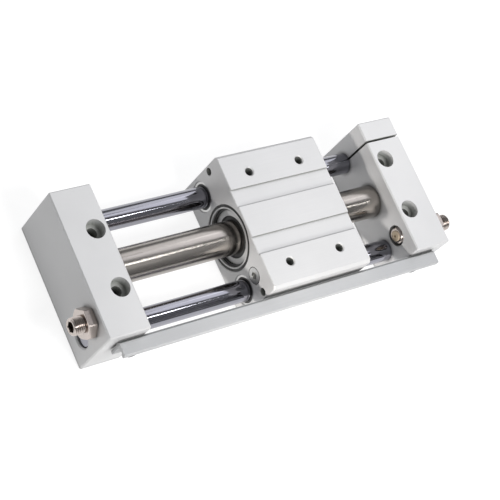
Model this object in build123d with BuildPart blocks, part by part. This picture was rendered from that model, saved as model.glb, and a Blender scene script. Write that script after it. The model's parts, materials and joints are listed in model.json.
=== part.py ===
from build123d import *
from math import sqrt
import os

# Rodless air cylinder with a magnetically coupled slide table, in millimetres.
# X runs along the cylinder, the switch rail is on the -Y side and Z points up.
# The origin is the centre of the four base mounting holes, on the underside of the end plates.

# Travel
stroke = 150.0
stop_room = 7.0
stop_reach_left = 4.5
stop_reach_right = 1.5
table_rest = 31.5

# Cylinder tube
bore = 25.0
tube_wall = 1.5
tube_seat = 18.0

# Guide rods
rod_d = 18.0
rod_seat = 20.0
rod_recess = 2.0
rod_mouth = 1.0
rod_chamfer = 1.0

# End plates
plate_t = 36.0
plate_edge = 1.0

# Base mounting holes for M8 cap screws
base_hole_r = 4.5
base_head_r = 7.9
base_head_depth = 9.0
base_hole_inset = 11.0
base_hole_web = 4.5

# Air passage from each port to the tube's end
end_wall = 4.0
chamber_lip = 2.0
port_r = 4.4
port_depth = 9.0
passage_r = 2.5
passage_drop = 7.0

# O-ring between the tube and each plate
seal_wire_r = 1.2
seal_inset = 6.0
seal_groove_w = 3.0

# Clamp of the back rod in the right plate
slit_w = 2.0
slit_bite = 0.5
clamp_rise = 14.0
clamp_grip = 10.0

# Set screws that hold the other rod ends from below
set_screw_r = 3.0
set_screw_l = 9.0
set_screw_socket = 3.0
set_screw_socket_depth = 3.5

# Stop bolts, M14, with their lock nuts and bumpers
stop_inset = 3.5
stop_rise = 21.5
stop_bolt_r = 6.95
stop_bolt_l = 56.0
stop_pocket_r = 9.0
stop_pocket_depth = 5.0
stop_socket = 8.0
stop_socket_depth = 9.0
bumper_r = 4.6
bumper_depth = 5.0
bumper_tip = 1.0
bumper_hole_r = 1.3
bumper_hole_depth = 2.0
lock_nut_flats = 22.0
lock_nut_h = 8.0

# Slide table, laid out round its bores
block_under = 2.0
block_floor = 3.5
block_roof = 3.0
block_rise = 1.5
block_side_wall = 4.0
block_side_gap = 1.5
rod_web = 2.0
rod_floor = 8.5
block_corner = 2.5
edge_break = 0.6
channel_y = 13.0
channel_w = 15.3
channel_depth = 1.5
table_hole_r = 3.4
table_mouth = 0.9
table_hole_depth = 14.0
table_hole_inset = 2.0
table_pitch_x = 50.0
core_hole_r = 3.3
core_hole_inset = 5.0
core_hole_rise = 23.3
pad_r = 6.5
pad_gap = 0.7
pad_recess_depth = 6.0
pad_socket = 6.0
pad_socket_depth = 3.0
switch_magnet_l = 20.0

# Rod bushes and wipers in the table
bush_wall = 3.5
bush_l = 30.0
bush_inset = 4.5
wiper_wall = 1.8
wiper_l = 3.4
wiper_inset = 0.8

# Magnet sleeve inside the table
sleeve_wall = 3.5
sleeve_end_wall = 1.2
sleeve_inset = 0.5
sleeve_ring_inset = 1.0
sleeve_ring_w = 2.6
sleeve_ring_t = 1.6
collar_ring_inset = 2.8
collar_ring_w = 2.4
collar_ring_t = 1.5
ring_bite = 0.7
ring_gap_w = 9.0
ring_ear_hole_r = 0.7
collar_ring_ear_r = 2.0

# Magnet stacks, the same pitch inside and outside the tube
magnet_count = 4
magnet_t = 8.0
magnet_w = 8.8
yoke_t = 5.0
stack_gap = 1.2

# End collars of the sleeve, which carry a scraper and a wear ring
collar_gap = 0.8
scraper_w = 3.5
scraper_l = 5.5
scraper_inset = 0.8
scraper_wall = 2.7
collar_wear_t = 2.0
collar_wear_w = 5.0
collar_end_wall = 2.2

# Piston inside the tube
shaft_r = 4.0
shaft_end = 1.0
head_l = 15.0
head_play = 0.2
piston_seal_t = 3.5
piston_seal_w = 4.0
piston_seal_inset = 2.0
piston_wear_t = 1.5
piston_wear_w = 5.0
piston_wear_wall = 2.0
piston_nut_flats = 13.0
piston_nut_h = 5.0
nut_corner = 1.13
cushion_gap = 0.5
cushion_w = 2.7
cushion_t = 3.0
magnet_play = 0.6
yoke_play = 0.4

# Switch rail on the front of the plates
rail_end_inset = 12.0
rail_gap = 1.3
rail_width = 11.1
rail_drop = 10.6
rail_wall = 3.0
rail_back_h = 16.9
rail_front_h = 4.6
rail_round = 1.0
rail_rib_low = 5.9
rail_rib_h = 4.0
rail_screw_drop = 11.9
rail_screw_left = 11.5
rail_screw_right = 5.0
rail_screw_r = 2.45
rail_screw_hole_r = 2.75
rail_screw_bite = 8.0
rail_head_r = 4.25
rail_head_h = 5.0
rail_socket = 4.0
rail_socket_depth = 2.5
rail_washer_t = 1.2

# Clamp screw, M6
clamp_screw_r = 2.95
clamp_hole_r = 3.3
clamp_head_r = 5.0
clamp_head_h = 6.0
clamp_socket = 5.0
clamp_socket_depth = 3.0

# Clearances, all radial or per face
seat_gap = 0.02
slide_gap = 0.04
thread_gap = 0.07
head_gap = 0.5
screw_tip_gap = 0.1

# What follows from the sizes above
tube_r = bore / 2 + tube_wall
rod_r = rod_d / 2
bush_r = rod_r + bush_wall
wiper_r = rod_r + wiper_wall
stack_bore_r = tube_r + stack_gap
sleeve_bore_r = stack_bore_r + magnet_w
sleeve_end_r = sleeve_bore_r + sleeve_end_wall
sleeve_r = sleeve_bore_r + sleeve_wall
tube_z = block_under + block_floor + sleeve_r
rod_y = sleeve_r + rod_web + bush_r
rod_z = block_under + rod_floor + bush_r
block_w = 2 * (rod_y + bush_r + block_side_wall)
block_top = tube_z + sleeve_r + block_roof
plate_w = block_w + 2 * block_side_gap
plate_h = block_top - block_rise
stack_l = magnet_count * magnet_t + (magnet_count + 1) * yoke_t
collar_bore_r = tube_r + collar_gap
scraper_r = tube_r + scraper_w
collar_wear_r = tube_r + collar_wear_t
collar_wear_inset = scraper_inset + scraper_l + scraper_wall
collar_l = collar_wear_inset + collar_wear_w + collar_end_wall
collar_inset = collar_ring_inset + collar_ring_t
block_l = stack_l + 2 * (collar_l + collar_inset)
span = stroke + block_l + 2 * stop_room
inner_x = span / 2
outer_x = inner_x + plate_t
tube_end = inner_x + tube_seat
chamber_l = plate_t - tube_seat - end_wall
port_x = tube_end + chamber_l / 2
base_hole_x = inner_x + base_hole_inset
base_hole_y = rod_y - rod_r - base_hole_web - base_hole_r
block_left = table_rest - block_l / 2
block_right = table_rest + block_l / 2
stack_left = table_rest - stack_l / 2
table_pitch_y = 2 * (rod_y - table_hole_inset)
core_hole_y = block_w / 2 - core_hole_inset
core_hole_z = rod_z + core_hole_rise
stop_y = rod_y - stop_inset
stop_z = rod_z + stop_rise
stop_hole_r = stop_bolt_r + thread_gap
pad_recess_r = pad_r + pad_gap
clamp_z = rod_z + rod_r + clamp_rise
piston_seal_r = bore / 2 - piston_seal_t
piston_wear_r = bore / 2 - piston_wear_t
piston_wear_inset = piston_seal_inset + piston_seal_w + piston_wear_wall
cushion_bore_r = piston_nut_flats / 2 * nut_corner + cushion_gap
rail_back_y = -plate_w / 2 - rail_gap
rail_front_y = rail_back_y - rail_width
rail_top_z = plate_h - rail_drop
rail_screw_z = rail_top_z - rail_screw_drop
rail_screw_xs = (-inner_x - rail_screw_left, inner_x + rail_screw_right)
rail_screw_l = rail_screw_bite + rail_gap + rail_wall + rail_washer_t
ends = (("left", -1), ("right", 1))
sides = (("back", 1), ("front", -1))


def across(x, y=0.0, z=0.0):
    """Plane square to the cylinder: its first axis is +Y, its second +Z, and it faces +X."""
    return Plane(origin=(x, y, z), x_dir=(0, 1, 0), z_dir=(1, 0, 0))


def lengthwise(x, y, z):
    """Plane through a line along X: its first axis is +X and its second +Z."""
    return Plane(origin=(x, y, z), x_dir=(1, 0, 0), z_dir=(0, -1, 0))


def facing(direction, x, y, z):
    """Plane at a hole's mouth that faces out of the hole."""
    return Plane(origin=(x, y, z), z_dir=direction)


def save(piece, label):
    """Name a finished piece and write it."""
    piece.part.label = label
    export_step(piece.part, f"parts/{label}.step")


def ring(x, length, inner_r, outer_r, y=0.0, z=tube_z):
    """Plain ring about a line along X, from x towards x + length."""
    with BuildPart() as piece:
        with BuildSketch(across(x, y, z)):
            Circle(outer_r)
            Circle(inner_r, mode=Mode.SUBTRACT)
        extrude(amount=length)
    return piece


def cap_screws(seats, shank_r, shank_l, head_r, head_h, socket, socket_depth):
    """Hexagon socket cap screws, each with its head standing on a seat plane."""
    with BuildPart() as screws:
        for seat in seats:
            with BuildSketch(seat):
                Circle(head_r)
            extrude(amount=head_h)
            with BuildSketch(seat):
                Circle(shank_r)
            extrude(amount=-shank_l)
            with BuildSketch(seat.offset(head_h)):
                RegularPolygon(socket / 2, 6, major_radius=False)
            extrude(amount=-socket_depth, mode=Mode.SUBTRACT)
    return screws


def hex_nut(x, height, y, z, flats, hole_r):
    """Hexagon nut with turned corners, from x towards x + height."""
    corner_r = flats / 2 * nut_corner
    turn = (corner_r - flats / 2) / 2
    step = turn if height > 0 else -turn
    with BuildPart() as nut:
        with BuildSketch(across(x, y, z)):
            RegularPolygon(flats / 2, 6, major_radius=False)
        extrude(amount=height)
        with BuildSketch(lengthwise(x, y, z)):
            with BuildLine():
                Polyline(
                    (0, 0),
                    (0, flats / 2),
                    (step, corner_r),
                    (height - step, corner_r),
                    (height, flats / 2),
                    (height, 0),
                    close=True,
                )
            make_face()
        revolve(axis=Axis((x, y, z), (1, 0, 0)), mode=Mode.INTERSECT)
        with BuildSketch(across(x, y, z)):
            Circle(hole_r)
        extrude(amount=height, mode=Mode.SUBTRACT)
    return nut


def end_plate(side, clamped):
    """End plate with its seats, air passage and screw holes; the front rod shows in the unclamped one."""
    face_x = side * inner_x
    inwards = (-side, 0, 0)
    with BuildPart() as plate:
        with BuildSketch(across(face_x, 0, plate_h / 2)):
            Rectangle(plate_w, plate_h)
        extrude(amount=side * plate_t)
        chamfer(plate.edges(), length=plate_edge)

        with Locations(facing(inwards, face_x, 0, tube_z)):
            Hole(tube_r + seat_gap, depth=tube_seat)
            Hole(bore / 2 - chamber_lip, depth=tube_seat + chamber_l)
        with BuildSketch(across(face_x + side * seal_inset, 0, tube_z)):
            Circle(tube_r + 2 * seal_wire_r + seat_gap)
            Circle(tube_r + seat_gap, mode=Mode.SUBTRACT)
        extrude(amount=side * seal_groove_w, mode=Mode.SUBTRACT)

        with Locations(*[facing(inwards, face_x, y, rod_z) for y in (-rod_y, rod_y)]):
            Hole(rod_r + seat_gap, depth=rod_seat)
        if not clamped:
            seat_r = rod_r + seat_gap
            with Locations(facing((side, 0, 0), side * outer_x, -rod_y, rod_z)):
                CounterSinkHole(seat_r, seat_r + rod_mouth, depth=plate_t, counter_sink_angle=90)

        base_ys = (-base_hole_y, base_hole_y)
        with Locations(*[facing((0, 0, 1), side * base_hole_x, y, plate_h) for y in base_ys]):
            CounterBoreHole(base_hole_r, base_head_r, base_head_depth)

        with Locations(facing(inwards, face_x, -stop_y, stop_z)):
            CounterBoreHole(stop_hole_r, stop_pocket_r, stop_pocket_depth)

        port_z = tube_z - passage_drop
        with Locations(facing((0, 1, 0), side * port_x, plate_w / 2, port_z)):
            CounterBoreHole(passage_r, port_r, port_depth, depth=plate_w / 2)

        held = (-rod_y,) if clamped else (-rod_y, rod_y)
        with Locations(*[facing((0, 0, -1), side * base_hole_x, y, 0) for y in held]):
            Hole(set_screw_r + seat_gap, depth=rod_z - rod_r + slit_bite)

        rail_screw_x = rail_screw_xs[0] if side < 0 else rail_screw_xs[1]
        with Locations(facing((0, -1, 0), rail_screw_x, -plate_w / 2, rail_screw_z)):
            Hole(rail_screw_r + thread_gap, depth=rail_screw_bite + head_gap)

        if clamped:
            slit_floor = rod_z + rod_r - slit_bite
            with BuildSketch(across(face_x, rod_y, (plate_h + slit_floor) / 2)):
                Rectangle(slit_w, plate_h - slit_floor)
            extrude(amount=side * plate_t, mode=Mode.SUBTRACT)
            with Locations(facing((0, 1, 0), side * (inner_x + plate_t / 2), plate_w / 2, clamp_z)):
                CounterBoreHole(
                    clamp_hole_r,
                    clamp_head_r + head_gap,
                    clamp_head_h + head_gap,
                    depth=plate_w / 2 - rod_y + slit_w / 2,
                )
                Hole(clamp_screw_r + thread_gap, depth=plate_w / 2 - rod_y + slit_w / 2 + clamp_grip)
    return plate


def guide_rod(left_x, y):
    """Ground rod with chamfered ends, from left_x to its seat in the right plate."""
    with BuildPart() as rod:
        with BuildSketch(across(left_x, y, rod_z)):
            Circle(rod_r)
        extrude(amount=inner_x + rod_seat - left_x)
        chamfer(rod.edges().filter_by(GeomType.CIRCLE), length=rod_chamfer)
    return rod


def tube_seal(side):
    """O-ring in the plate's groove round the tube."""
    middle = side * (inner_x + seal_inset + seal_groove_w / 2)
    with BuildPart() as seal:
        with Locations(across(middle, 0, tube_z)):
            Torus(tube_r + seal_wire_r + seat_gap, seal_wire_r - seat_gap / 2)
    return seal


def rod_set_screws():
    """Headless screws under the rod ends, all but the clamped one."""
    top = rod_z - rod_r - screw_tip_gap
    spots = ((-base_hole_x, -rod_y), (-base_hole_x, rod_y), (base_hole_x, -rod_y))
    with BuildPart() as screws:
        for x, y in spots:
            with BuildSketch(Plane(origin=(x, y, top))):
                Circle(set_screw_r)
            extrude(amount=-set_screw_l)
            with BuildSketch(Plane(origin=(x, y, top - set_screw_l))):
                RegularPolygon(set_screw_socket / 2, 6, major_radius=False)
            extrude(amount=set_screw_socket_depth, mode=Mode.SUBTRACT)
    return screws


def switch_rail():
    """Channel that hangs in front of the plates and takes the switches, open underneath."""
    half = outer_x - rail_end_inset
    rib_low = rail_top_z - rail_rib_low
    with BuildPart() as rail:
        with BuildSketch(across(-half)):
            with BuildLine():
                Polyline(
                    (rail_back_y, rail_top_z),
                    (rail_front_y, rail_top_z),
                    (rail_front_y, rail_top_z - rail_front_h),
                    (rail_front_y + rail_wall, rail_top_z - rail_front_h),
                    (rail_front_y + rail_wall, rail_top_z - rail_wall),
                    (rail_back_y - rail_wall, rail_top_z - rail_wall),
                    (rail_back_y - rail_wall, rail_top_z - rail_back_h),
                    (rail_back_y, rail_top_z - rail_back_h),
                    (rail_back_y, rib_low),
                    (-plate_w / 2, rib_low),
                    (-plate_w / 2, rib_low + rail_rib_h),
                    (rail_back_y, rib_low + rail_rib_h),
                    close=True,
                )
            make_face()
        extrude(amount=2 * half)
        fillet(rail.edges().filter_by(Axis.X).group_by(Axis.Z)[-1], radius=rail_round)
        leg_y = rail_back_y - rail_wall
        with Locations(*[facing((0, -1, 0), x, leg_y, rail_screw_z) for x in rail_screw_xs]):
            Hole(rail_screw_hole_r, depth=rail_wall)
    return rail


def rail_rings(y, thickness):
    """Washers or spacers round the two rail screws, from y towards the plates."""
    with BuildPart() as rings:
        for x in rail_screw_xs:
            with BuildSketch(facing((0, 1, 0), x, y, rail_screw_z)):
                Circle(rail_head_r)
                Circle(rail_screw_hole_r, mode=Mode.SUBTRACT)
            extrude(amount=thickness)
    return rings


def stop_bolt(side, reach):
    """Socket set bolt with a chamfered thread and a pocket for its bumper."""
    tip_x = side * (inner_x - reach + bumper_tip)
    with BuildPart() as bolt:
        with BuildSketch(across(tip_x, -stop_y, stop_z)):
            Circle(stop_bolt_r)
        extrude(amount=side * stop_bolt_l)
        chamfer(bolt.edges().filter_by(GeomType.CIRCLE), length=rod_chamfer)
        with Locations(facing((-side, 0, 0), tip_x, -stop_y, stop_z)):
            Hole(bumper_r + seat_gap, depth=bumper_depth)
        with BuildSketch(across(tip_x + side * stop_bolt_l, -stop_y, stop_z)):
            RegularPolygon(stop_socket / 2, 6, major_radius=False)
        extrude(amount=-side * stop_socket_depth, mode=Mode.SUBTRACT)
    return bolt


def stop_bumper(side, reach):
    """Resin plug that stands a little out of the stop bolt."""
    tip_x = side * (inner_x - reach)
    with BuildPart() as bumper:
        with BuildSketch(across(tip_x, -stop_y, stop_z)):
            Circle(bumper_r)
        extrude(amount=side * (bumper_depth + bumper_tip))
        tip_edge = bumper.edges().filter_by(GeomType.CIRCLE).sort_by(Axis.X)[0 if side > 0 else -1]
        fillet(tip_edge, radius=bumper_tip / 2)
        with Locations(facing((-side, 0, 0), tip_x, -stop_y, stop_z)):
            Hole(bumper_hole_r, depth=bumper_hole_depth)
    return bumper


def slide_block():
    """Extruded table with the magnet sleeve's bore, two rod bores and its drilled holes."""
    with BuildPart() as block:
        with BuildSketch(across(block_left)) as section:
            with Locations((0, (block_top + block_under) / 2)):
                Rectangle(block_w, block_top - block_under)
            chamfer(section.vertices().group_by(Axis.Y)[-1], length=block_corner)
            middle = channel_y + channel_w / 2
            with Locations((-middle, block_top), (middle, block_top)):
                Rectangle(channel_w, 2 * channel_depth, mode=Mode.SUBTRACT)
        extrude(amount=block_l)
        rims = [face.outer_wire().edges() for face in block.faces().filter_by(Axis.X)]
        chamfer(rims[0] + rims[-1], length=edge_break)

        with BuildSketch(across(block_left)):
            with Locations((0, tube_z)):
                Circle(sleeve_r)
            with Locations((-rod_y, rod_z), (rod_y, rod_z)):
                Circle(bush_r)
            with Locations((-core_hole_y, core_hole_z), (core_hole_y, core_hole_z)):
                Circle(core_hole_r)
        extrude(amount=block_l, mode=Mode.SUBTRACT)
        round_rims = [
            edge
            for edge in block.edges().filter_by(GeomType.CIRCLE)
            if edge.radius > bush_r - edge_break
        ]
        chamfer(round_rims, length=edge_break)
        for x in (block_left + sleeve_ring_inset, block_right - sleeve_ring_inset - sleeve_ring_t):
            with BuildSketch(across(x, 0, tube_z)):
                Circle(sleeve_r + ring_bite)
            extrude(amount=sleeve_ring_t, mode=Mode.SUBTRACT)

        for name, side in ends:
            with Locations(facing((side, 0, 0), table_rest + side * block_l / 2, -stop_y, stop_z)):
                Hole(pad_recess_r, depth=pad_recess_depth)
        with Locations(facing((0, 0, 1), table_rest, 0, block_top)):
            with GridLocations(table_pitch_x, table_pitch_y, 2, 2):
                mouth_r = table_hole_r + table_mouth
                CounterSinkHole(table_hole_r, mouth_r, table_hole_depth, counter_sink_angle=90)
    return block


def stop_pad(side):
    """Hard disc that meets the stop bolt, flush with the table's end."""
    face_x = table_rest + side * block_l / 2
    with BuildPart() as pad:
        with BuildSketch(across(face_x, -stop_y, stop_z)):
            Circle(pad_r)
        extrude(amount=-side * pad_recess_depth)
        with BuildSketch(across(face_x, -stop_y, stop_z)):
            RegularPolygon(pad_socket / 2, 6, major_radius=False)
        extrude(amount=-side * pad_socket_depth, mode=Mode.SUBTRACT)
    return pad


def rod_wipers(inner_r, outer_r):
    """One ring at each of the four rod openings of the table."""
    with BuildPart() as wipers:
        for x in (block_left + wiper_inset, block_right - wiper_inset - wiper_l):
            for y in (-rod_y, rod_y):
                with BuildSketch(across(x, y, rod_z)):
                    Circle(outer_r)
                    Circle(inner_r, mode=Mode.SUBTRACT)
                extrude(amount=wiper_l)
    return wipers


def magnet_sleeve():
    """Housing of the outer magnets, stepped at both ends and grooved for the collar rings."""
    shoulder = sleeve_ring_inset + sleeve_ring_t
    with BuildPart() as sleeve:
        with BuildSketch(across(block_left + sleeve_inset, 0, tube_z)):
            Circle(sleeve_end_r)
        extrude(amount=block_l - 2 * sleeve_inset)
        with BuildSketch(across(block_left + shoulder, 0, tube_z)):
            Circle(sleeve_r - seat_gap)
        extrude(amount=block_l - 2 * shoulder)
        with BuildSketch(across(block_left, 0, tube_z)):
            Circle(sleeve_bore_r)
        extrude(amount=block_l, mode=Mode.SUBTRACT)
        for x in (block_left + collar_ring_inset, block_right - collar_inset):
            with BuildSketch(across(x, 0, tube_z)):
                Circle(sleeve_bore_r + ring_bite)
            extrude(amount=collar_ring_t, mode=Mode.SUBTRACT)
    return sleeve


def snap_rings(xs, thickness, outer_r, width, ear_r):
    """Open retaining rings with two drilled ears, their gap at the bottom."""
    ear_y = ring_gap_w / 2 + ear_r
    ear_z = -sqrt((outer_r - ear_r) ** 2 - ear_y**2)
    with BuildPart() as rings:
        for x in xs:
            with BuildSketch(across(x, 0, tube_z)):
                Circle(outer_r)
                Circle(outer_r - width, mode=Mode.SUBTRACT)
                with Locations((0, -outer_r)):
                    Rectangle(ring_gap_w, 4 * width, mode=Mode.SUBTRACT)
                with Locations((-ear_y, ear_z), (ear_y, ear_z)):
                    Circle(ear_r)
                Circle(outer_r, mode=Mode.INTERSECT)
                with Locations((-ear_y, ear_z), (ear_y, ear_z)):
                    Circle(ring_ear_hole_r, mode=Mode.SUBTRACT)
            extrude(amount=thickness)
    return rings


def end_collar(side):
    """Collar that closes the sleeve and carries a scraper and a wear ring."""
    face_x = table_rest + side * (block_l / 2 - collar_inset)
    with BuildPart() as collar:
        with BuildSketch(across(face_x, 0, tube_z)):
            Circle(sleeve_bore_r - seat_gap)
            Circle(collar_bore_r, mode=Mode.SUBTRACT)
        extrude(amount=-side * collar_l)
        with Locations(facing((side, 0, 0), face_x, 0, tube_z)):
            Hole(scraper_r, depth=scraper_inset + scraper_l)
        with BuildSketch(across(face_x - side * collar_wear_inset, 0, tube_z)):
            Circle(collar_wear_r)
        extrude(amount=-side * collar_wear_w, mode=Mode.SUBTRACT)
    return collar


def yokes(left, inner_r, outer_r):
    """Steel discs between and beside the magnets."""
    with BuildPart() as discs:
        for i in range(magnet_count + 1):
            with BuildSketch(across(left + i * (magnet_t + yoke_t), 0, tube_z)):
                Circle(outer_r)
                Circle(inner_r, mode=Mode.SUBTRACT)
            extrude(amount=yoke_t)
    return discs


def piston_head(side):
    """End of the piston, with a groove for its seal and one for its wear ring."""
    inner_face = table_rest + side * stack_l / 2
    groove_xs = (
        (inner_face + side * piston_seal_inset, piston_seal_w, piston_seal_r),
        (inner_face + side * piston_wear_inset, piston_wear_w, piston_wear_r),
    )
    with BuildPart() as head:
        with BuildSketch(across(inner_face, 0, tube_z)):
            Circle(bore / 2 - head_play)
            Circle(shaft_r + seat_gap, mode=Mode.SUBTRACT)
        extrude(amount=side * head_l)
        for x, width, floor_r in groove_xs:
            with BuildSketch(across(x, 0, tube_z)):
                Circle(bore / 2)
                Circle(floor_r, mode=Mode.SUBTRACT)
            extrude(amount=side * width, mode=Mode.SUBTRACT)
    return head


def frame_pieces():
    """Everything that stays put."""
    save(end_plate(-1, clamped=False), "plate_a")
    save(end_plate(1, clamped=True), "plate_b")
    save(ring(-tube_end, 2 * tube_end, bore / 2, tube_r), "cylinder_tube")
    save(guide_rod(-inner_x - rod_seat, rod_y), "guide_rod_back")
    save(guide_rod(-outer_x + rod_recess, -rod_y), "guide_rod_front")
    for name, side in ends:
        save(tube_seal(side), f"tube_seal_{name}")
        nut = hex_nut(side * outer_x, side * lock_nut_h, -stop_y, stop_z, lock_nut_flats, stop_hole_r)
        save(nut, f"lock_nut_{name}")
    save(rod_set_screws(), "rod_set_screws")
    save(switch_rail(), "switch_rail")

    leg_face = rail_back_y - rail_wall
    head_seats = [facing((0, -1, 0), x, leg_face - rail_washer_t, rail_screw_z) for x in rail_screw_xs]
    rail_screws = cap_screws(
        head_seats, rail_screw_r, rail_screw_l, rail_head_r, rail_head_h, rail_socket, rail_socket_depth
    )
    save(rail_screws, "rail_screws")
    save(rail_rings(leg_face - rail_washer_t, rail_washer_t), "rail_washers")
    save(rail_rings(rail_back_y, rail_gap), "rail_spacers")

    clamp_seat = facing((0, 1, 0), inner_x + plate_t / 2, plate_w / 2 - clamp_head_h - head_gap, clamp_z)
    clamp_l = clamp_seat.origin.Y - rod_y + slit_w / 2 + clamp_grip - head_gap
    clamp = cap_screws(
        [clamp_seat], clamp_screw_r, clamp_l, clamp_head_r, clamp_head_h, clamp_socket, clamp_socket_depth
    )
    save(clamp, "clamp_screw")


def stop_pieces():
    """The two adjustable stops."""
    for (name, side), reach in zip(ends, (stop_reach_left, stop_reach_right)):
        save(stop_bolt(side, reach), f"stop_bolt_{name}")
        save(stop_bumper(side, reach), f"stop_bumper_{name}")


def table_pieces():
    """The slide table and all that travels with it outside the tube."""
    save(slide_block(), "slide_block")
    for end_name, end in ends:
        bush_x = table_rest + end * (block_l / 2 - bush_inset)
        for side_name, side in sides:
            bush = ring(bush_x, -end * bush_l, rod_r + slide_gap, bush_r - seat_gap, side * rod_y, rod_z)
            save(bush, f"rod_bush_{side_name}_{end_name}")
    save(rod_wipers(wiper_r, bush_r - seat_gap), "wiper_cases")
    save(rod_wipers(rod_r + slide_gap, wiper_r), "wiper_lips")
    save(magnet_sleeve(), "magnet_sleeve")

    sleeve_ring_xs = (block_left + sleeve_ring_inset, block_right - sleeve_ring_inset - sleeve_ring_t)
    sleeve_ring_r = sleeve_r + ring_bite - seat_gap
    sleeve_rings = snap_rings(sleeve_ring_xs, sleeve_ring_t, sleeve_ring_r, sleeve_ring_w, sleeve_ring_w / 2)
    save(sleeve_rings, "sleeve_rings")
    collar_ring_xs = (block_left + collar_ring_inset, block_right - collar_inset)
    collar_ring_r = sleeve_bore_r + ring_bite - seat_gap
    for (name, end), x in zip(ends, collar_ring_xs):
        collar_ring = snap_rings([x], collar_ring_t, collar_ring_r, collar_ring_w, collar_ring_ear_r)
        save(collar_ring, f"collar_ring_{name}")
        save(end_collar(end), f"end_collar_{name}")
        face_x = table_rest + end * (block_l / 2 - collar_inset)
        scraper_x = face_x - end * scraper_inset
        scraper = ring(scraper_x, -end * scraper_l, tube_r + slide_gap, scraper_r - seat_gap)
        save(scraper, f"tube_scraper_{name}")
        wear_x = face_x - end * collar_wear_inset
        wear = ring(wear_x, -end * collar_wear_w, tube_r + slide_gap, collar_wear_r - seat_gap)
        save(wear, f"table_wear_ring_{name}")
        save(stop_pad(end), f"stop_pad_{name}")

    save(yokes(stack_left, stack_bore_r, sleeve_bore_r - seat_gap), "outer_yokes")
    for i in range(magnet_count):
        x = stack_left + yoke_t + i * (magnet_t + yoke_t)
        save(ring(x, magnet_t, stack_bore_r, sleeve_bore_r - seat_gap), f"outer_magnet_{i + 1}")

    magnet_x = table_rest - switch_magnet_l / 2
    with BuildPart() as switch_magnet:
        with BuildSketch(across(magnet_x, -core_hole_y, core_hole_z)):
            Circle(core_hole_r - seat_gap)
        extrude(amount=switch_magnet_l)
    save(switch_magnet, "switch_magnet")


def piston_pieces():
    """The magnetic piston that the air drives inside the tube."""
    half_shaft = stack_l / 2 + head_l + piston_nut_h + shaft_end
    with BuildPart() as shaft:
        with BuildSketch(across(table_rest - half_shaft, 0, tube_z)):
            Circle(shaft_r)
        extrude(amount=2 * half_shaft)
        chamfer(shaft.edges().filter_by(GeomType.CIRCLE), length=shaft_end / 2)
    save(shaft, "piston_shaft")
    save(yokes(stack_left, shaft_r + seat_gap, bore / 2 - yoke_play), "inner_yokes")
    for i in range(magnet_count):
        x = stack_left + yoke_t + i * (magnet_t + yoke_t)
        save(ring(x, magnet_t, shaft_r + seat_gap, bore / 2 - magnet_play), f"inner_magnet_{i + 1}")
    for name, side in ends:
        inner_face = table_rest + side * stack_l / 2
        outer_face = inner_face + side * head_l
        save(piston_head(side), f"piston_head_{name}")
        seal_x = inner_face + side * piston_seal_inset
        seal = ring(seal_x, side * piston_seal_w, piston_seal_r + seat_gap, bore / 2 - slide_gap)
        save(seal, f"piston_seal_{name}")
        wear_x = inner_face + side * piston_wear_inset
        wear = ring(wear_x, side * piston_wear_w, piston_wear_r + seat_gap, bore / 2 - slide_gap)
        save(wear, f"piston_wear_ring_{name}")
        cushion = ring(outer_face, side * cushion_t, cushion_bore_r, cushion_bore_r + cushion_w)
        save(cushion, f"piston_cushion_{name}")
        nut = hex_nut(outer_face, side * piston_nut_h, 0, tube_z, piston_nut_flats, shaft_r + seat_gap)
        save(nut, f"piston_nut_{name}")


os.makedirs("parts", exist_ok=True)
frame_pieces()
stop_pieces()
table_pieces()
piston_pieces()
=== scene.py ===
import json
import math

import bmesh
import bpy
import numpy as np
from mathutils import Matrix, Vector


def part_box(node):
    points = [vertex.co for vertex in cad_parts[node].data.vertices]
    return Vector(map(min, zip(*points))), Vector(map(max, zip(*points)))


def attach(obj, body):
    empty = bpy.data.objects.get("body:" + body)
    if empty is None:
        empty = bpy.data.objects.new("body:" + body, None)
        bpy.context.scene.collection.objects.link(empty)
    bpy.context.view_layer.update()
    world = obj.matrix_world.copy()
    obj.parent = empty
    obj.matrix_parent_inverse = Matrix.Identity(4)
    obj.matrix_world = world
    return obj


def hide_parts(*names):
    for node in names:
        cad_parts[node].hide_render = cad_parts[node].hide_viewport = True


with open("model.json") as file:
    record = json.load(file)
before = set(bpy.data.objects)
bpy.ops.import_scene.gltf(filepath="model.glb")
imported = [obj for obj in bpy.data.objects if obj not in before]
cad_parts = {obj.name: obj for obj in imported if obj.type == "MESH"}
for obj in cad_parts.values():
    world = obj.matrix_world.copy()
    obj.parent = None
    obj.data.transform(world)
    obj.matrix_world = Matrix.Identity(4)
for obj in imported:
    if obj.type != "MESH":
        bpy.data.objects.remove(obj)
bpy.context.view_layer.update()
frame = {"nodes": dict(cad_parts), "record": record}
nodes = frame["nodes"]
mounts = {mount["name"]: mount for mount in frame["record"]["mounts"]}

MM = 0.001


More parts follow.
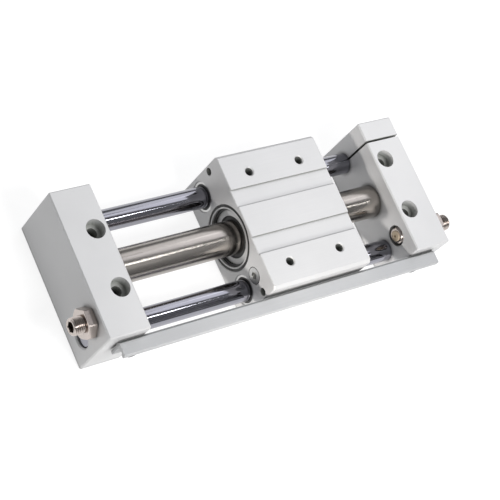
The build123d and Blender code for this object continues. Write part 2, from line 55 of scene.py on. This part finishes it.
# ---------------------------------------------------------------- material nodes
class Nodes:
    """A material's node tree with short ways to add and join nodes."""

    def __init__(self, name):
        self.material = bpy.data.materials.new(name)
        self.material.use_nodes = True
        self.tree = self.material.node_tree
        self.tree.nodes.clear()
        self.out = self.add("ShaderNodeOutputMaterial")
        self.shader = self.add("ShaderNodeBsdfPrincipled")
        self.join(self.shader.outputs[0], self.out.inputs["Surface"])

    def add(self, kind, **values):
        node = self.tree.nodes.new(kind)
        for key, value in values.items():
            setattr(node, key, value)
        return node

    def join(self, source, target):
        self.tree.links.new(source, target)

    def feed(self, socket, value):
        """Join the value to the socket if it is a node's output, and set it there if not."""
        if hasattr(value, "is_linked"):
            self.join(value, socket)
        else:
            socket.default_value = value

    def place(self, scale=(1.0, 1.0, 1.0)):
        """Object coordinates. A small factor draws the pattern out along that axis."""
        mapping = self.add("ShaderNodeMapping")
        coordinates = self.add("ShaderNodeTexCoord")
        self.join(coordinates.outputs["Object"], mapping.inputs["Vector"])
        mapping.inputs["Scale"].default_value = scale
        return mapping.outputs[0]

    def noise(self, vector, scale, detail=4.0, roughness=0.55):
        node = self.add("ShaderNodeTexNoise")
        self.join(vector, node.inputs["Vector"])
        node.inputs["Scale"].default_value = scale
        node.inputs["Detail"].default_value = detail
        node.inputs["Roughness"].default_value = roughness
        return node.outputs["Fac"]

    def spread(self, value, low, high, to_low, to_high):
        """Map low to high onto to_low to to_high, and cut off what lies past them."""
        node = self.add("ShaderNodeMapRange")
        self.join(value, node.inputs["Value"])
        node.inputs["From Min"].default_value = low
        node.inputs["From Max"].default_value = high
        node.inputs["To Min"].default_value = to_low
        node.inputs["To Max"].default_value = to_high
        return node.outputs[0]

    def stretch(self, noise, edge=0.3, to_low=0.0, to_high=1.0):
        """Spread a noise, whose values crowd round a half, over the whole range."""
        return self.spread(noise, edge, 1.0 - edge, to_low, to_high)

    def math(self, operation, a, b):
        node = self.add("ShaderNodeMath", operation=operation)
        self.feed(node.inputs[0], a)
        self.feed(node.inputs[1], b)
        return node.outputs[0]

    def times(self, a, b):
        return self.math("MULTIPLY", a, b)

    def mix(self, factor, a, b):
        node = self.add("ShaderNodeMix", data_type="RGBA")
        self.feed(node.inputs[0], factor)
        self.feed(node.inputs[6], a)
        self.feed(node.inputs[7], b)
        return node.outputs[2]

    def bump(self, height, strength, distance, normal=None):
        node = self.add("ShaderNodeBump")
        self.join(height, node.inputs["Height"])
        node.inputs["Strength"].default_value = strength
        node.inputs["Distance"].default_value = distance
        if normal is not None:
            self.join(normal, node.inputs["Normal"])
        return node.outputs[0]

    def worn(self, reach):
        """1 on outward edges, where handling rubs the finish, and 0 away from them."""
        node = self.add("ShaderNodeAmbientOcclusion", samples=6, inside=True, only_local=True)
        node.inputs["Distance"].default_value = reach
        return self.spread(node.outputs["AO"], 0.85, 0.45, 0.0, 1.0)

    def hollow(self, reach, shut, clear, own=True):
        """1 in holes and corners and 0 on open faces. If not own, neighbours count too. Its uses
        paint shade there; in bores they also lay the wall's own grey.
        """
        node = self.add("ShaderNodeAmbientOcclusion", samples=8, only_local=own)
        node.inputs["Distance"].default_value = reach
        return self.spread(node.outputs["AO"], clear, shut, 0.0, 1.0)

    def set(self, **values):
        for key, value in values.items():
            self.feed(self.shader.inputs[key.replace("_", " ")], value)
        return self.material


def grey(value, warm=0.0):
    return (value * (1 + warm), value, value * (1 - warm), 1.0)


def shade(colour, factor=1.0, lift=0.0):
    """A colour with alpha, made darker or lighter."""
    return tuple(min(1.0, part * factor + lift) for part in colour) + (1.0,)


# ---------------------------------------------------------------- finishes
# stretches of a pattern
EVEN = (1.0, 1.0, 1.0)
LINES_X = (0.02, 1.0, 1.0)
ROUND_X = (1.0, 0.15, 0.15)
ROUND_Z = (0.01, 0.01, 1.0)
# noise scales, per metre
BLAST_SCALE = 2600.0
FINE_SCALE = 1400.0
LINE_SCALE = 900.0
MOULD_SCALE = 900.0
SPECK_SCALE = 60.0
STEEL_CLOUDS = 35.0
ALLOY_CLOUDS = 22.0
# how far worn edges, the painted shade in corners and the hole colouring reach, and how strong
# the first two are
ALLOY_EDGE, ALLOY_CORNER, ALLOY_HOLE = 0.5 * MM, 5.0 * MM, 14.0 * MM
STEEL_EDGE, STEEL_CORNER = 0.35 * MM, 2.5 * MM
EDGE_SHARE, CORNER_SHADE_SHARE = 0.3, 0.85
# the anodised finish's own: its extrusion lines, its worn edges, and the grey of its bored
# holes, partly the wall's own and partly painted shade that goes to black deep inside
DRAWN_SHARE, DRAWN_BUMP = 0.25, 0.04 * MM
GRAIN_BUMP = 0.05 * MM
RUBBED = grey(0.92)
BORED_DARK = (0.28, 0.29, 0.27, 1.0)
BORED_PALE = (0.44, 0.45, 0.42, 1.0)
HOLE_BOTTOM_SHADE = (0.02, 0.021, 0.02, 1.0)


def anodised(name, base, along=EVEN, drawn=0.0, roughness=0.42, blue=0.0):
    """Clear anodised alloy: blasted grain, faint clouds and, if drawn, extrusion lines.

    Outward edges are rubbed pale; painted shade darkens corners and the joins with other parts;
    holes show ringed walls in a grey that is partly their own and partly painted shade, going to
    painted black shade at the bottom.
    """
    m = Nodes(name)
    place = m.place()
    grain = m.noise(place, BLAST_SCALE, 2.0, 0.6)
    cloud = m.noise(place, ALLOY_CLOUDS, 3.0)
    lines = m.noise(m.place(along), LINE_SCALE, 3.0, 0.7)
    rings = m.noise(m.place(ROUND_Z), LINE_SCALE, 2.0, 0.6)
    edge = m.worn(ALLOY_EDGE)
    # painted shade: darkens corners and where the part meets its neighbours
    corner_shade_mask = m.hollow(ALLOY_CORNER, 0.45, 0.9, own=False)
    # the bore walls take their grey deeper in, partly their own colour and partly painted shade;
    # the bottoms get painted black shade
    hole_wall_and_shade = m.hollow(ALLOY_HOLE, 0.2, 0.8)
    hole_bottom_shade = m.hollow(ALLOY_HOLE, 0.02, 0.22)

    tone = m.mix(m.stretch(cloud), grey(base * 0.97, -blue), grey(base * 1.02, -blue))
    drawn_lines = m.times(m.stretch(lines, 0.35), DRAWN_SHARE * drawn)
    tone = m.mix(drawn_lines, tone, grey(base * 0.86))
    tone = m.mix(m.times(edge, EDGE_SHARE), tone, RUBBED)
    # painted shade in corners and at joins
    tone = m.mix(m.times(corner_shade_mask, CORNER_SHADE_SHARE), tone, grey(base * 0.15))
    bore_grey_and_shade = m.mix(m.stretch(rings, 0.35), BORED_DARK, BORED_PALE)
    bore_grey_and_shade = m.mix(hole_bottom_shade, bore_grey_and_shade, HOLE_BOTTOM_SHADE)
    tone = m.mix(hole_wall_and_shade, tone, bore_grey_and_shade)

    rough = m.stretch(grain, 0.3, roughness - 0.05, roughness + 0.05)
    rough = m.math("ADD", rough, m.times(cloud, 0.04))
    normal = m.bump(grain, 0.10, GRAIN_BUMP)
    if drawn:
        normal = m.bump(lines, DRAWN_SHARE * drawn, DRAWN_BUMP, normal)
    return m.set(Base_Color=tone, Metallic=0.2, Roughness=rough, Normal=normal)


def ground(name, colour, along, roughness, lines=0.3, metallic=1.0, corner_shade_factor=0.25):
    """Turned, drawn or ground metal: fine lines, pale worn edges and painted shade in corners.
    """
    m = Nodes(name)
    fine = m.noise(m.place(along), FINE_SCALE, 3.0, 0.7)
    cloud = m.noise(m.place(), STEEL_CLOUDS, 3.0)
    dark = shade(colour, 0.88)
    tone = m.mix(m.times(m.stretch(cloud), 0.6), shade(colour), dark)
    tone = m.mix(m.times(m.stretch(fine), lines), tone, dark)
    tone = m.mix(m.times(m.worn(STEEL_EDGE), 0.5), tone, shade(colour, 1.8))
    # painted shade: the corners darken
    tone = m.mix(m.hollow(STEEL_CORNER, 0.3, 0.75), tone, shade(colour, corner_shade_factor))
    rough = m.stretch(fine, 0.3, roughness * 0.85, roughness * 1.2)
    normal = m.bump(fine, lines * 0.4, 0.02 * MM)
    return m.set(Base_Color=tone, Metallic=metallic, Roughness=rough, Normal=normal)


def moulded(name, colour, roughness):
    """Rubber or plastic with a fine moulded grain."""
    m = Nodes(name)
    place = m.place()
    fine = m.noise(place, MOULD_SCALE, 4.0)
    cloud = m.noise(place, SPECK_SCALE, 3.0)
    tone = m.mix(m.spread(cloud, 0.35, 0.7, 0.0, 0.6), shade(colour), shade(colour, 1.35, 0.01))
    rough = m.stretch(fine, 0.3, roughness - 0.06, roughness + 0.06)
    normal = m.bump(fine, 0.3, 0.04 * MM)
    return m.set(Base_Color=tone, Metallic=0.0, Roughness=rough, Normal=normal)


finishes = {
    "plates": anodised("plate_anodised", 0.79),
    "table": anodised("table_anodised", 0.76, LINES_X, drawn=0.6),
    "rail": anodised("rail_anodised", 0.56, LINES_X, drawn=1.0, blue=0.015),
    "sleeve": anodised("sleeve_anodised", 0.62, ROUND_X, drawn=0.8, roughness=0.32),
    "tube": ground("tube_stainless", (0.38, 0.355, 0.33), LINES_X, 0.21, lines=0.1),
    "rods": ground("rod_chrome", (0.30, 0.30, 0.335), ROUND_X, 0.1, lines=0.15),
    "nickel": ground("nickel_plated", (0.56, 0.50, 0.465), ROUND_X, 0.22),
    "zinc": ground("zinc_plated", (0.24, 0.24, 0.245), ROUND_X, 0.38, lines=0.4),
    "pads": ground("pad_steel", (0.62, 0.62, 0.61), ROUND_X, 0.35, lines=0.4, corner_shade_factor=0.7),
    # the threads in holes are painted dark, as the shade inside the holes
    "bore_grey_and_shade": ground("bore_alloy_shaded", (0.13, 0.135, 0.125), ROUND_X, 0.4, metallic=0.5),
    "black": ground("black_steel", (0.05, 0.05, 0.05), ROUND_X, 0.4, metallic=0.6),
    "yoke": ground("yoke_steel", (0.42, 0.42, 0.43), ROUND_X, 0.35, lines=0.5),
    "magnet": ground("magnet_nickel", (0.55, 0.55, 0.56), ROUND_X, 0.3, lines=0.2),
    "bronze": ground("sintered_bronze", (0.55, 0.40, 0.22), ROUND_X, 0.45, lines=0.4),
    "rubber": moulded("nitrile_rubber", (0.03, 0.03, 0.03), 0.55),
    "polymer": moulded("bearing_polymer", (0.32, 0.26, 0.2), 0.5),
    "resin": moulded("polyurethane", (0.40, 0.33, 0.24), 0.35),
}
finish_of_node = {
    "plate_a": "plates",
    "plate_b": "plates",
    "slide_block": "table",
    "switch_rail": "rail",
    "magnet_sleeve": "sleeve",
    "end_collar_left": "sleeve",
    "end_collar_right": "sleeve",
    "piston_head_left": "sleeve",
    "piston_head_right": "sleeve",
    "cylinder_tube": "tube",
    "guide_rod_back": "rods",
    "guide_rod_front": "rods",
}
finish_of_slot = {
    "plated_steel": "nickel",
    "pad_steel": "pads",
    "black_steel": "black",
    "yoke_steel": "yoke",
    "magnet": "magnet",
    "bronze": "bronze",
    "nitrile": "rubber",
    "wear_polymer": "polymer",
    "resin": "resin",
}
for row in frame["record"]["subparts"]:
    finish = finish_of_node.get(row["node"]) or finish_of_slot[row["material_slot"]]
    materials = nodes[row["node"]].data.materials
    materials.clear()
    materials.append(finishes[finish])


# ---------------------------------------------------------------- mesh tools, in millimetres
# each axis: its direction, and the two across it that a ring starts from
AXES = {
    "+x": ((1, 0, 0), (0, 1, 0), (0, 0, 1)),
    "-x": ((-1, 0, 0), (0, 1, 0), (0, 0, 1)),
    "+y": ((0, 1, 0), (1, 0, 0), (0, 0, 1)),
    "-y": ((0, -1, 0), (1, 0, 0), (0, 0, 1)),
    "-z": ((0, 0, -1), (1, 0, 0), (0, 1, 0)),
}
COLUMNS = 48
SHARP = math.radians(28)


def turned(start, axis, profile, columns=COLUMNS):
    """Rings round an axis, from a profile of distances along it and radii.

    A radius is one number, or has a value for each column.
    """
    ahead, side, up = (np.array(v, float) for v in AXES[axis])
    angle = np.arange(columns) * math.tau / columns
    spokes = np.cos(angle)[:, None] * side + np.sin(angle)[:, None] * up
    rings = []
    for distance, radius in profile:
        radius = np.broadcast_to(radius, columns)[:, None]
        rings.append(np.array(start) + distance * ahead + radius * spokes)
    return np.array(rings)


def hexagon(flats, columns=COLUMNS):
    """A hexagon's radius in each column."""
    angle = np.arange(columns) * math.tau / columns
    return flats / 2 / np.cos(angle % (math.pi / 3) - math.pi / 6)


def piece(name, parts, body, slot, finish, *replaced):
    """One object from closed forms: stacks of rings, each capped or looped into itself."""
    points, faces = [], []
    for rings, looped in parts:
        rows, columns = rings.shape[:2]
        base = len(points)
        points.extend((rings.reshape(-1, 3) * MM).tolist())
        for row in range(rows if looped else rows - 1):
            a, b = base + row * columns, base + (row + 1) % rows * columns
            for j in range(columns):
                k = (j + 1) % columns
                faces.append((a + j, a + k, b + k, b + j))
        if not looped:
            last = base + (rows - 1) * columns
            faces.append(tuple(range(base, base + columns)))
            faces.append(tuple(range(last, last + columns)))
    mesh = bpy.data.meshes.new(name)
    mesh.from_pydata(points, [], faces)
    form = bmesh.new()
    form.from_mesh(mesh)
    bmesh.ops.recalc_face_normals(form, faces=form.faces)
    form.to_mesh(mesh)
    form.free()
    mesh.polygons.foreach_set("use_smooth", [True] * len(mesh.polygons))
    mesh.set_sharp_from_angle(angle=SHARP)
    mesh.materials.append(finishes[finish])
    shown = bpy.data.objects.new(name, mesh)
    bpy.context.scene.collection.objects.link(shown)
    if replaced:
        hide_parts(*replaced)
    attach(shown, body)


# ---------------------------------------------------------------- stop bolts, M14 x 1.5
STOP_R, STOP_L, STOP_PITCH, STOP_CHAMFER = 6.95, 56.0, 1.5, 1.0
STOP_THREAD_DEPTH = 0.6 * STOP_PITCH
STOP_FLANK_START, STOP_FLANK_SLOPE = 1.05, 2.3
STOP_SOCKET, STOP_SOCKET_DEPTH, STOP_SOCKET_LIP = 8.0, 9.0, 0.4
STOP_SOCKET_MOUTH_R = 0.615 * STOP_SOCKET
STOP_Y, STOP_Z = -38.5, 44.5
BUMPER_POCKET_R, BUMPER_DEPTH = 4.62, 5.0
RINGS_PER_TURN = 8


def stop_bolt(outer_x, axis):
    """Threaded bolt: hexagon socket in its outer end, pocket for the bumper in its inner end."""
    socket = hexagon(STOP_SOCKET)
    rows = [(STOP_SOCKET_DEPTH, socket), (STOP_SOCKET_LIP, socket), (0.0, STOP_SOCKET_MOUTH_R)]
    rows.append((0.0, STOP_R - STOP_CHAMFER))
    turn = np.arange(COLUMNS) / COLUMNS
    steps = int(STOP_L / STOP_PITCH * RINGS_PER_TURN) + 1
    for along in np.linspace(0.0, STOP_L, steps):
        from_root = np.abs((along / STOP_PITCH + turn) % 1.0 - 0.5)
        groove = np.clip(STOP_FLANK_START - STOP_FLANK_SLOPE * from_root, 0.0, 1.0)
        tapered = STOP_R - STOP_CHAMFER + min(along, STOP_L - along)
        rows.append((along, np.minimum(STOP_R - groove * STOP_THREAD_DEPTH, tapered)))
    rows += [(STOP_L, BUMPER_POCKET_R), (STOP_L - BUMPER_DEPTH, BUMPER_POCKET_R)]
    return turned((outer_x, STOP_Y, STOP_Z), axis, rows), False


for side, end, axis in (("left", 0, "+x"), ("right", 1, "-x")):
    bolt = stop_bolt(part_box("stop_bolt_" + side)[end][0] / MM, axis)
    name, body = "stop_bolt_" + side, "stop_" + side
    piece(name + "_threaded", [bolt], body, "plated_steel", "nickel", name)


# ---------------------------------------------------------------- socket cap screws
HEAD_COLUMNS = 144
KNURL_DEPTH = 0.112
HEAD_CHAMFER, HEAD_BEVEL, HEAD_FOOT = 0.7, 0.25, 0.35
SOCKET_MOUTH = 0.62
SHANK_POINT = 0.8
RAIL_SCREW = {
    "head_r": 4.25, "head_h": 5.0, "socket": 4.0, "socket_depth": 2.5,
    "shank_r": 2.45, "shank_l": 13.5,
}
RAIL_SCREW_X, RAIL_SCREW_Z = (-142.5, 136.0), 39.5
CLAMP_SCREW = {
    "head_r": 5.0, "head_h": 6.0, "socket": 5.0, "socket_depth": 3.0, "shank_r": 2.95,
}
CLAMP_SCREW_X, CLAMP_SCREW_Z = 149.0, 46.0


def cap_screw(seat, axis, head_r, head_h, socket, socket_depth, shank_r, shank_l):
    """Socket cap screw with a knurled head, from the seat plane outwards along the axis."""
    flats = hexagon(socket, HEAD_COLUMNS)
    knurl = head_r - np.tile((0.0, KNURL_DEPTH, KNURL_DEPTH), HEAD_COLUMNS // 3)
    rows = [
        (head_h - socket_depth, flats), (head_h - HEAD_BEVEL, flats),
        (head_h, socket * SOCKET_MOUTH), (head_h, head_r - HEAD_CHAMFER),
        (head_h - HEAD_BEVEL, head_r - HEAD_BEVEL), (head_h - HEAD_CHAMFER, knurl),
        (0.5, knurl), (0.3, head_r - 0.2), (0.0, head_r - HEAD_FOOT), (0.0, shank_r),
        (SHANK_POINT - shank_l, shank_r), (-shank_l, shank_r - SHANK_POINT),
    ]
    return turned(seat, axis, rows, HEAD_COLUMNS), False


rail_seat_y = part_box("rail_screws")[0][1] / MM + RAIL_SCREW["head_h"]
rail_screws = [
    cap_screw((x, rail_seat_y, RAIL_SCREW_Z), "-y", **RAIL_SCREW) for x in RAIL_SCREW_X
]
piece("rail_screws_knurled", rail_screws, "frame", "plated_steel", "zinc", "rail_screws")

clamp_low, clamp_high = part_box("clamp_screw")
clamp_seat_y = clamp_high[1] / MM - CLAMP_SCREW["head_h"]
clamp_seat = (CLAMP_SCREW_X, clamp_seat_y, CLAMP_SCREW_Z)
clamp = cap_screw(clamp_seat, "+y", shank_l=clamp_seat_y - clamp_low[1] / MM, **CLAMP_SCREW)
piece("clamp_screw_knurled", [clamp], "frame", "plated_steel", "zinc", "clamp_screw")


# ---------------------------------------------------------------- threads in holes
STEPS_PER_TURN = 24
LEAD_STEPS = 12
RIDGE_HEIGHT, RIDGE_LOWEST, RIDGE_SUNK = 0.22, 0.02, 0.01
RIDGE_HALF_WIDTH = 0.3
THREAD_INSET = 0.4
TABLE_PITCH, TABLE_THREAD_L = 1.25, 12.0
PORT_PITCH, PORT_THREAD_L = 0.907, 8.0


def ridge(start, axis, radius, pitch, length):
    """Screw thread inside a hole, as one three-sided coil that is sunk into its wall."""
    ahead, side, up = (np.array(v, float) for v in AXES[axis])
    steps = length / pitch * STEPS_PER_TURN
    rings = []
    for step in range(int(steps) + 1):
        angle = step * math.tau / STEPS_PER_TURN
        spoke = math.cos(angle) * side + math.sin(angle) * up
        lead = min(1.0, step / LEAD_STEPS, (steps - step) / LEAD_STEPS)
        along = pitch * step / STEPS_PER_TURN
        crest, foot = max(RIDGE_LOWEST, RIDGE_HEIGHT * lead), RIDGE_HALF_WIDTH * pitch
        corners = ((along - foot, 0.0), (along, crest), (along + foot, 0.0))
        rings.append([
            np.array(start) + distance * ahead + (radius + RIDGE_SUNK - height) * spoke
            for distance, height in corners
        ])
    return np.array(rings)


bolts = mounts["table_bolts"]
table_x, table_y, thread_top = (v / MM for v in bolts["pos_m"])
reach_x, reach_y = bolts["dims"]["spacing_x_mm"] / 2, bolts["dims"]["spacing_y_mm"] / 2
table_threads = [
    (ridge((table_x + dx, table_y + dy, thread_top - THREAD_INSET), "-z",
           bolts["dims"]["hole_r_mm"], TABLE_PITCH, TABLE_THREAD_L), False)
    for dx in (-reach_x, reach_x) for dy in (-reach_y, reach_y)
]
# painted shade: the table's thread ridges take the dark bore finish
piece("table_threads", table_threads, "table", "anodised", "bore_grey_and_shade")

port_threads = []
for port in (mounts["air_port_left"], mounts["air_port_right"]):
    x, middle_y, z = (v / MM for v in port["pos_m"])
    start = (x, middle_y + port["dims"]["length_mm"] / 2 - THREAD_INSET, z)
    coil = ridge(start, "-y", port["dims"]["r_mm"], PORT_PITCH, PORT_THREAD_L)
    port_threads.append((coil, False))
# painted shade: the port thread ridges take the dark bore finish
piece("port_threads", port_threads, "frame", "anodised", "bore_grey_and_shade")


# ---------------------------------------------------------------- wiper lips and tube scrapers
ROD_R, ROD_Y, ROD_Z = 9.0, 42.0, 23.0
TUBE_R, TUBE_Z = 14.0, 33.0
WIPER_L, SCRAPER_L = 3.4, 5.5
RING_COLUMNS = 64
LIP_GAP, LIP_BACK = 0.05, 0.45


def lip_ring(outer_x, axis, y, z, shaft_r, outer_r, length):
    """Ring with a flared outer lip that meets the shaft, a groove, and a second lip."""
    profile = [
        (LIP_BACK, outer_r), (LIP_BACK, outer_r - 0.35), (0.0, shaft_r + 0.55),
        (0.05, shaft_r + LIP_GAP), (0.35, shaft_r + 0.03), (1.0, shaft_r + 0.45),
        (length * 0.55, shaft_r + 0.5), (length - 0.7, shaft_r + LIP_GAP),
        (length - 0.45, shaft_r + LIP_GAP), (length, shaft_r + 0.4), (length, outer_r),
    ]
    return turned((outer_x, y, z), axis, profile, RING_COLUMNS), True


lips_low, lips_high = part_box("wiper_lips")
wiper_r = (lips_high[1] - lips_low[1]) / MM / 2 - ROD_Y
wiper_lips = [
    lip_ring(x / MM, axis, y, ROD_Z, ROD_R, wiper_r, WIPER_L)
    for x, axis in ((lips_low[0], "+x"), (lips_high[0], "-x"))
    for y in (-ROD_Y, ROD_Y)
]
piece("wiper_lips_flared", wiper_lips, "table", "nitrile", "rubber", "wiper_lips")

for side, end, axis in (("left", 0, "+x"), ("right", 1, "-x")):
    name = "tube_scraper_" + side
    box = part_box(name)
    outer_r = (box[1][1] - box[0][1]) / MM / 2
    scraper = lip_ring(box[end][0] / MM, axis, 0.0, TUBE_Z, TUBE_R, outer_r, SCRAPER_L)
    piece(name + "_lipped", [scraper], "table", "nitrile", "rubber", name)


# ---------------------------------------------------------------- stage
FLOOR_HALF = 6.0
FLOOR_DROP = 0.2 * MM
FLOOR_BOUNCE, FLOOR_TONE, FLOOR_LIFT = 0.55, 0.34, 0.84
CENTRE = (0.0, 0.0, 0.03)
ROOM_TINT = (0.94, 0.95, 0.97, 1.0)
ROOM_LIGHT = 0.26


def floor():
    """Pale paper that reads as white.

    What sees it, straight or in metal, finds a darker tone under an even lift, so that its
    shadow stays and is soft. The light that it throws back at the part is that of its own tone.
    """
    half = FLOOR_HALF
    corners = [(-half, -half, 0), (half, -half, 0), (half, half, 0), (-half, half, 0)]
    mesh = bpy.data.meshes.new("floor")
    mesh.from_pydata(corners, [], [(0, 1, 2, 3)])
    plane = bpy.data.objects.new("floor", mesh)
    bpy.context.scene.collection.objects.link(plane)
    plane.location.z = -FLOOR_DROP
    m = Nodes("floor_paper")
    m.tree.nodes.remove(m.shader)
    rays = m.add("ShaderNodeLightPath")
    seen = m.math("MAXIMUM", rays.outputs["Is Camera Ray"], rays.outputs["Is Glossy Ray"])
    seen = m.math("MAXIMUM", seen, rays.outputs["Is Transmission Ray"])
    diffuse = m.add("ShaderNodeBsdfDiffuse")
    m.join(m.mix(seen, grey(FLOOR_BOUNCE), grey(FLOOR_TONE)), diffuse.inputs["Color"])
    glow = m.add("ShaderNodeEmission")
    m.join(m.times(seen, FLOOR_LIFT), glow.inputs["Strength"])
    both = m.add("ShaderNodeAddShader")
    m.join(diffuse.outputs[0], both.inputs[0])
    m.join(glow.outputs[0], both.inputs[1])
    m.join(both.outputs[0], m.out.inputs["Surface"])
    mesh.materials.append(m.material)


def softbox(name, at, size, power, colour=(1.0, 1.0, 1.0), aim=CENTRE, beam=180.0):
    """Rectangular lamp that faces a point: metres, watts, and degrees for its beam."""
    light = bpy.data.lights.new(name, "AREA")
    light.shape = "RECTANGLE"
    light.size, light.size_y = size
    light.energy = power
    light.color = colour
    light.spread = math.radians(beam)
    lamp = bpy.data.objects.new(name, light)
    bpy.context.scene.collection.objects.link(lamp)
    lamp.location = at
    lamp.rotation_mode = "QUATERNION"
    lamp.rotation_quaternion = (Vector(aim) - Vector(at)).to_track_quat("-Z", "X")


floor()
# the key lights the tops and fronts, and the narrow side lamp the front of the table's end face
softbox("key", (0.10, -0.80, 1.17), (0.6, 0.5), 12.6)
softbox("side", (-1.0, -0.85, 0.35), (0.12, 0.12), 0.065, (1.0, 0.96, 0.92),
        aim=(-0.02, -0.09, 0.03), beam=10.0)
# the cards show in the rods and the tube as broad bands, and the strips as thin highlights
softbox("card_low", (0.62, 0.33, 0.9), (0.5, 0.55), 1.3, (0.95, 0.95, 1.0))
softbox("card_high", (0.95, 0.98, 0.9), (0.8, 0.8), 2.6, (0.97, 0.97, 1.0))
softbox("strip_left", (0.40, -0.265, 0.9), (0.12, 0.05), 0.42)
softbox("strip_right", (0.785, -0.265, 0.9), (0.05, 0.05), 0.16)

world = bpy.data.worlds.new("room")
bpy.context.scene.world = world
world.use_nodes = True
background = world.node_tree.nodes["Background"]
background.inputs["Color"].default_value = ROOM_TINT
background.inputs["Strength"].default_value = ROOM_LIGHT


# ---------------------------------------------------------------- camera
CAMERA_AT = (-0.68521, -0.29699, 1.00501)
CAMERA_TURN = (27.204729, -26.457683, -26.556819)  # degrees about X, Y and Z
SENSOR = 36.0
LENS = 110.282
CLIP = (0.05, 50.0)

camera = bpy.data.objects.new("camera", bpy.data.cameras.new("camera"))
bpy.context.scene.collection.objects.link(camera)
camera.location = CAMERA_AT
camera.rotation_euler = [math.radians(angle) for angle in CAMERA_TURN]
camera.data.sensor_width = SENSOR
camera.data.lens = LENS
camera.data.dof.use_dof = False
camera.data.clip_start, camera.data.clip_end = CLIP
bpy.context.scene.camera = camera
bpy.context.scene.view_settings.view_transform = "Standard"
